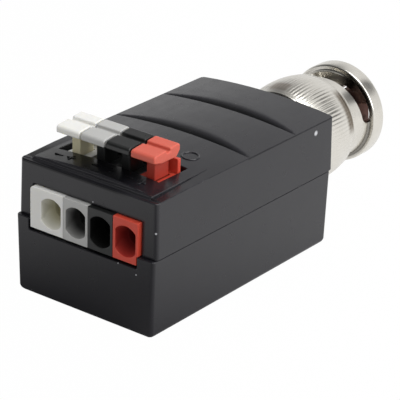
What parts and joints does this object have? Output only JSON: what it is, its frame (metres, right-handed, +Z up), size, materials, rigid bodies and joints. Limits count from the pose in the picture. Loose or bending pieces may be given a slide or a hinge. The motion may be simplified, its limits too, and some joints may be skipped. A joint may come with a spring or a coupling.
{
  "type": "video balun",
  "caption": "Passive video balun in a black moulded housing, with push-key wire terminals at one end and a bayonet coax plug with a turning nut at the other.",
  "frame": {"origin": "middle of the overall footprint, on the flat base", "axes": "+X right as seen from the terminals, +Y from the terminals to the coax plug, +Z up, away from the base"},
  "size_m": [0.022, 0.056, 0.0225],
  "materials": {
    "black_abs": "moulded satin, lightly scuffed",
    "white_nylon": "moulded",
    "grey_nylon": "moulded",
    "black_nylon": "moulded",
    "red_nylon": "moulded",
    "tinned_copper": "tin plated strip",
    "spring_steel": "cold rolled",
    "fibreglass_board": "solder mask",
    "ferrite": "sintered",
    "enamelled_copper": "enamelled wire",
    "epoxy_package": "moulded epoxy",
    "nickel_plated_brass": "bright nickel plate",
    "white_acetal": "turned",
    "gold_plated_brass": "gold plate",
    "red_silicone": "moulded"
  },
  "bodies": {
    "housing": {"upper_shell": "black_abs", "lower_shell": "black_abs", "circuit_board": "fibreglass_board", "terminal_white": "white_nylon", "contact_white": "tinned_copper", "clamp_spring_white": "spring_steel", "terminal_grey": "grey_nylon", "contact_grey": "tinned_copper", "clamp_spring_grey": "spring_steel", "terminal_black": "black_nylon", "contact_black": "tinned_copper", "clamp_spring_black": "spring_steel", "terminal_red": "red_nylon", "contact_red": "tinned_copper", "clamp_spring_red": "spring_steel", "transformer_core": "ferrite", "transformer_winding": "enamelled_copper", "surge_diode_left": "epoxy_package", "surge_diode_right": "epoxy_package", "resistor_left": "epoxy_package", "resistor_right": "epoxy_package", "plug_body": "nickel_plated_brass", "plug_insulator": "white_acetal", "centre_pin": "gold_plated_brass", "ground_sleeve": "nickel_plated_brass", "gasket": "red_silicone", "wave_spring": "spring_steel", "signal_lead": "tinned_copper", "ground_lead": "tinned_copper"},
    "key_white": {"key_white": "white_nylon"},
    "key_grey": {"key_grey": "grey_nylon"},
    "key_black": {"key_black": "black_nylon"},
    "key_red": {"key_red": "red_nylon"},
    "nut": {"retaining_ring": "spring_steel", "coupling_nut": "nickel_plated_brass"},
    "washer": {"thrust_washer": "spring_steel"}
  },
  "joints": [
    {"name": "press_white", "type": "slide", "parent": "housing", "child": "key_white", "axis": [0, 0, -1], "range_m": [0, 0.002], "stiffness_N_per_m": 2500, "springref_m": -0.001, "deforming": ["clamp_spring_white"]},
    {"name": "press_grey", "type": "slide", "parent": "housing", "child": "key_grey", "axis": [0, 0, -1], "range_m": [0, 0.002], "stiffness_N_per_m": 2500, "springref_m": -0.001, "deforming": ["clamp_spring_grey"]},
    {"name": "press_black", "type": "slide", "parent": "housing", "child": "key_black", "axis": [0, 0, -1], "range_m": [0, 0.002], "stiffness_N_per_m": 2500, "springref_m": -0.001, "deforming": ["clamp_spring_black"]},
    {"name": "press_red", "type": "slide", "parent": "housing", "child": "key_red", "axis": [0, 0, -1], "range_m": [0, 0.002], "stiffness_N_per_m": 2500, "springref_m": -0.001, "deforming": ["clamp_spring_red"]},
    {"name": "nut_travel", "type": "slide", "parent": "housing", "child": "washer", "axis": [0, 1, 0], "range_m": [0, 0.0008], "stiffness_N_per_m": 25000, "springref_m": -0.0006, "deforming": ["wave_spring"]},
    {"name": "nut_turn", "type": "hinge", "parent": "washer", "child": "nut", "pos_m": [0, 0.021, 0.01069], "axis": [0, 1, 0], "continuous": true}
  ]
}
